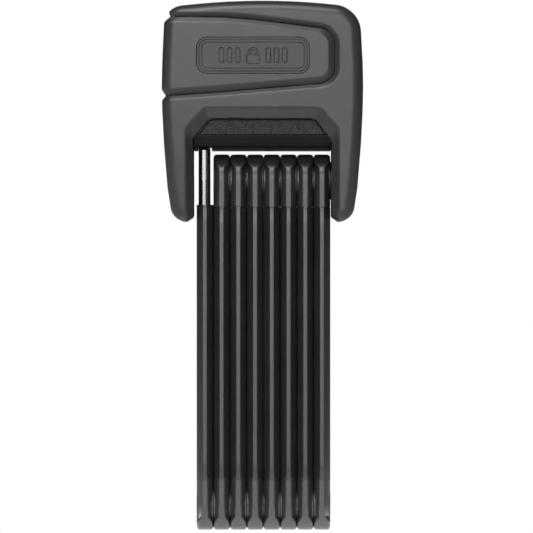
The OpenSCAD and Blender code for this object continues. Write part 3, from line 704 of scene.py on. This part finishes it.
def cap_mesh(side):
    """One end cap about its hinge axis, its free end up; side is where the recess for the rivet's head is."""
    reach = high_z - sleeve_high - 0.1
    rim_r, recess_r, hole_r = 7.2, 6.4, 4.3

    def field(x, y, z):
        end = np.where(z > 0, np.hypot(y, z), np.abs(y) + 0 * z) - end_r
        # The bevels follow the round end and run out between 5 and 8 mm above the axis.
        round_part = np.hypot(y, np.clip(z, 0, None) * np.clip((8 - z) / 3, 0, 1))
        bar = bar_distance(x, round_part, LINK_HT, CAP_FLAT, 1.7)
        d = soft_max(bar, end, 0.35 + 1.2 * np.clip((z - 6) / 3, 0, 1))
        # A round boss stands on the side of the neighbour it is hinged to, a low rim on the other.
        away = np.hypot(y, z)
        boss = soft_max(away - boss_r, np.abs(x) - LINK_HT, 0.35)
        rim = soft_max(away - rim_r, np.abs(x) - LINK_HT, 0.1)
        d = np.minimum(d, np.where(side * x < 0, boss, rim))
        d = np.maximum(d, -z - reach)
        recess = np.maximum(away - recess_r, -side * x)
        d = soft_max(d, -recess, 0.15)
        d = np.maximum(d, -(away - hole_r))
        plate = bar_distance(x, y, PLATE_HT, PLATE_FLAT)
        inner = np.where(z > 0, away, np.abs(y) + 0 * z) - PLATE_HW
        return np.maximum(d, -np.maximum(plate, inner))
    return skin(f"cap_{'right' if side > 0 else 'left'}", field,
                (-LINK_HT, -end_r, -reach), (LINK_HT, end_r, end_r), 0.33)


def copy_mesh(source, name, turn, at):
    """A copy of a piece, turned over for the lower end and moved to its place."""
    mesh = source.data.copy()
    n = len(mesh.vertices)
    co = np.zeros(n * 3, np.float32)
    mesh.vertices.foreach_get("co", co)
    co = co.reshape(-1, 3)
    if turn:
        co[:, 1:] *= -1
    co += np.array(at, np.float32) * MM
    obj = bpy.data.objects.new(name, mesh)
    normals = np.zeros(len(mesh.loops) * 3, np.float32)
    mesh.corner_normals.foreach_get("vector", normals)
    normals = normals.reshape(-1, 3)
    if turn:
        normals[:, 1:] *= -1
    mesh.vertices.foreach_set("co", co.ravel())
    mesh.update()
    mesh.normals_split_custom_set(normals.tolist())
    bpy.context.scene.collection.objects.link(obj)
    return obj


def sleeve(k):
    """Soft sleeve: a six-sided section lofted along the link, its ends rounded in."""
    x0 = stack_right - link_pitch * (LINKS - k)
    top = tongue_low if k == 1 else sleeve_high
    t, flat, edge = LINK_HT, 7.0, 0.85

    def ring(w, lift):
        """One closed section with half width w, at the height lift."""
        corners = np.array([(t, flat), (edge, w), (-edge, w), (-t, flat),
                            (-t, -flat), (-edge, -w), (edge, -w), (t, -flat)])
        out = []
        for i, corner in enumerate(corners):
            before, after = corners[i - 1] - corner, corners[(i + 1) % len(corners)] - corner
            # The narrow edges are crisp, the long ones well rounded.
            r = 0.16 if abs(corner[1]) > flat + 1 else 1.3
            start = corner + before / np.linalg.norm(before) * r
            end = corner + after / np.linalg.norm(after) * r
            for f in (0.0, 0.25, 0.5, 0.75, 1.0):
                p = (1 - f) ** 2 * start + 2 * f * (1 - f) * corner + f * f * end
                out.append((x0 + p[0], p[1], lift))
        return out
    heights = [(0.0, -0.45), (0.1, -0.15), (0.35, 0.0), (7, 0.0)]
    levels = [(sleeve_low + h, inset) for h, inset in heights]
    levels += [(top - h, inset) for h, inset in reversed(heights)]
    verts = []
    for z, inset in levels:
        verts += ring(sleeve_hw + inset, z)
    n = len(verts) // len(levels)
    faces = [(i * n + j, i * n + (j + 1) % n, (i + 1) * n + (j + 1) % n, (i + 1) * n + j)
             for i in range(len(levels) - 1) for j in range(n)]
    faces.append(list(range(n))[::-1])
    faces.append([(len(levels) - 1) * n + j for j in range(n)])
    obj = mesh_piece(f"sleeve_{k}", verts, faces)
    return place(obj, f"link_{k}", "sleeve_soft", f"link_{k}_sleeve")


def links():
    """All eight bars. Each is hinged to one neighbour at its lower end and to the other at its upper end."""
    caps = {side: cap_mesh(side) for side in (-1, 1)}
    for k in range(1, LINKS + 1):
        x0 = stack_right - link_pitch * (LINKS - k)
        odd = k % 2 == 1
        low_neighbour, high_neighbour = (1, -1) if odd else (-1, 1)
        low = copy_mesh(caps[-low_neighbour], f"cap_{k}_low", True, (x0, 0, low_z))
        place(low, f"link_{k}", "cap_plastic", f"link_{k}_caps")
        if k > 1:
            high = copy_mesh(caps[-high_neighbour], f"cap_{k}_high", False, (x0, 0, high_z))
            place(high, f"link_{k}", "cap_plastic", f"link_{k}_caps")
        sleeve(k)
    for obj in caps.values():
        bpy.data.objects.remove(obj)


def tongue():
    """Steel plate of link 1, bare above its sleeve, with a notch near its tip."""
    low, high = span("link_1_plate")
    cx = (low[0] + high[0]) / 2
    half_t, half_w, edge_ht, hole_r = 2.44, 10.1, 0.95, 4.05
    bevel_x, bevel_y = 1.5, 1.3

    def field(x, y, z):
        side, rim = np.abs(x - cx), np.abs(y) - half_w
        chamfer = ((side - edge_ht) * bevel_x + rim * bevel_y) / math.hypot(bevel_x, bevel_y)
        body = soft_max(soft_max(side - half_t, chamfer, 0.8), rim, 0.5)
        tip = round_edges(rim, z - high[2], 1.4)
        foot = np.where(z < low_z, np.hypot(y, z - low_z), 0 * y + 0 * z) - half_w
        d = soft_max(body, np.where(z > high_z, tip, -5), 0.4)
        d = soft_max(d, np.where(z < low_z, foot, -5), 0.6)
        d = np.maximum(d, -rod_x(y, z, 0, low_z, hole_r))
        notch = box_distance(x, y, z, (cx - 5, 7.2, high_z + 1.6), (cx + 5, 14, high_z + 6.4), 0.5)
        return soft_max(d, -notch, 0.4)
    place(skin("tongue_plate", field, low, high, 0.4), "link_1", "tongue_steel", "link_1_plate")


def carried_over():
    """Inner CAD pieces stay as they are and get their slot's material."""
    slots = {s["node"]: s["material_slot"] for s in frame["record"]["subparts"]}
    for name, obj in frame["nodes"].items():
        obj.data.materials.clear()
        obj.data.materials.append(material(slots[name]))


# ---- Stage ----
def camera():
    """Long lens, level, facing the front; the frame is as wide as the lock is tall."""
    data = bpy.data.cameras.new("camera")
    obj = bpy.data.objects.new("camera", data)
    bpy.context.scene.collection.objects.link(obj)
    sensor = 36
    # Distance from the origin, and the width seen at the depth of the bars' front, in metres.
    distance, bars_front, seen = 2.3, 0.016, 0.2239
    data.sensor_width = sensor
    data.lens = sensor * (distance - bars_front) / seen
    data.clip_end = 50
    obj.location = (0.0017, -distance, 0.1113)
    obj.rotation_euler = (math.pi / 2, 0, 0)
    bpy.context.scene.camera = obj


def lamp(name, at, aim, width, height, radiance):
    """Soft box of the given brightness; its power follows from its area."""
    data = bpy.data.lights.new(name, "AREA")
    data.energy = radiance * math.pi * width * height
    data.shape = "RECTANGLE"
    data.size = width
    data.size_y = height
    obj = bpy.data.objects.new(name, data)
    bpy.context.scene.collection.objects.link(obj)
    obj.location = at
    obj.rotation_euler = (Vector(aim) - Vector(at)).to_track_quat("-Z", "Y").to_euler()


def seen_white(tree, lit):
    """White where the camera looks straight at it; lit decides what it sheds on the lock."""
    seen = tree.nodes.new("ShaderNodeEmission")
    seen.inputs["Strength"].default_value = 1.0
    choose = tree.nodes.new("ShaderNodeMixShader")
    camera_ray = tree.nodes.new("ShaderNodeLightPath").outputs["Is Camera Ray"]
    tree.links.new(camera_ray, choose.inputs["Fac"])
    tree.links.new(lit, choose.inputs[1])
    tree.links.new(seen.outputs[0], choose.inputs[2])
    return choose.outputs[0]


# Glow of the floor beside the lock and further off, the distances between which it fades,
# and the room's glow.
FLOOR_GLOW = (1.15, 0.04)
FLOOR_FADE = (0.04, 0.12)
ROOM_GLOW = 0.02


def floor_piece():
    """Pale floor just under the lock; it sheds light upwards beside the lock only."""
    mesh = bpy.data.meshes.new("floor")
    s = 6
    z = cad_low[2] - 0.0003
    mesh.from_pydata([(-s, -s, z), (s, -s, z), (s, s, z), (-s, s, z)], [], [(0, 1, 2, 3)])
    floor = bpy.data.objects.new("floor", mesh)
    bpy.context.scene.collection.objects.link(floor)
    mat = bpy.data.materials.new("floor")
    mat.use_nodes = True
    tree = mat.node_tree
    pale = tree.nodes["Principled BSDF"]
    pale.inputs["Base Color"].default_value = (0.85, 0.85, 0.85, 1)
    pale.inputs["Roughness"].default_value = 0.9
    pale.inputs["Emission Color"].default_value = (1, 1, 1, 1)
    away = tree.nodes.new("ShaderNodeVectorMath")
    away.operation = "LENGTH"
    tree.links.new(tree.nodes.new("ShaderNodeTexCoord").outputs["Object"], away.inputs[0])
    glow = spread(tree, away.outputs["Value"], *FLOOR_GLOW, *FLOOR_FADE)
    tree.links.new(glow, pale.inputs["Emission Strength"])
    tree.links.new(seen_white(tree, pale.outputs[0]), tree.nodes["Material Output"].inputs["Surface"])
    mesh.materials.append(mat)


def stage():
    """Floor, a room that looks white, and five soft boxes."""
    floor_piece()
    world = bpy.data.worlds.new("world")
    bpy.context.scene.world = world
    world.use_nodes = True
    tree = world.node_tree
    tree.nodes.clear()
    out = tree.nodes.new("ShaderNodeOutputWorld")
    lit = tree.nodes.new("ShaderNodeBackground")
    lit.inputs["Strength"].default_value = ROOM_GLOW
    lit.inputs["Color"].default_value = (1, 1, 1, 1)
    tree.links.new(seen_white(tree, lit.outputs[0]), out.inputs["Surface"])
    lamp("front_box", (-0.30, -2.5, 0.80), (0, 0, 0.14), 1.7, 1.5, 4.7)
    lamp("high_box", (-0.35, -1.1, 2.0), (0, 0, 0.18), 1.1, 0.9, 12.0)
    lamp("left_box", (-1.9, -0.9, 0.3), (0, 0, 0.08), 0.7, 0.6, 0.25)
    lamp("right_box", (2.0, -0.5, 0.5), (0, 0, 0.12), 0.5, 0.9, 0.15)
    lamp("back_box", (0.3, 2.2, 0.9), (0, 0, 0.12), 1.4, 1.0, 3.0)
    bpy.context.scene.view_settings.view_transform = "Standard"


carried_over()
front_shell()
back_shell()
shell_seal()
side_band()
badge()
core_cover()
key_flap()
battery_door()
links()
tongue()
camera()
stage()
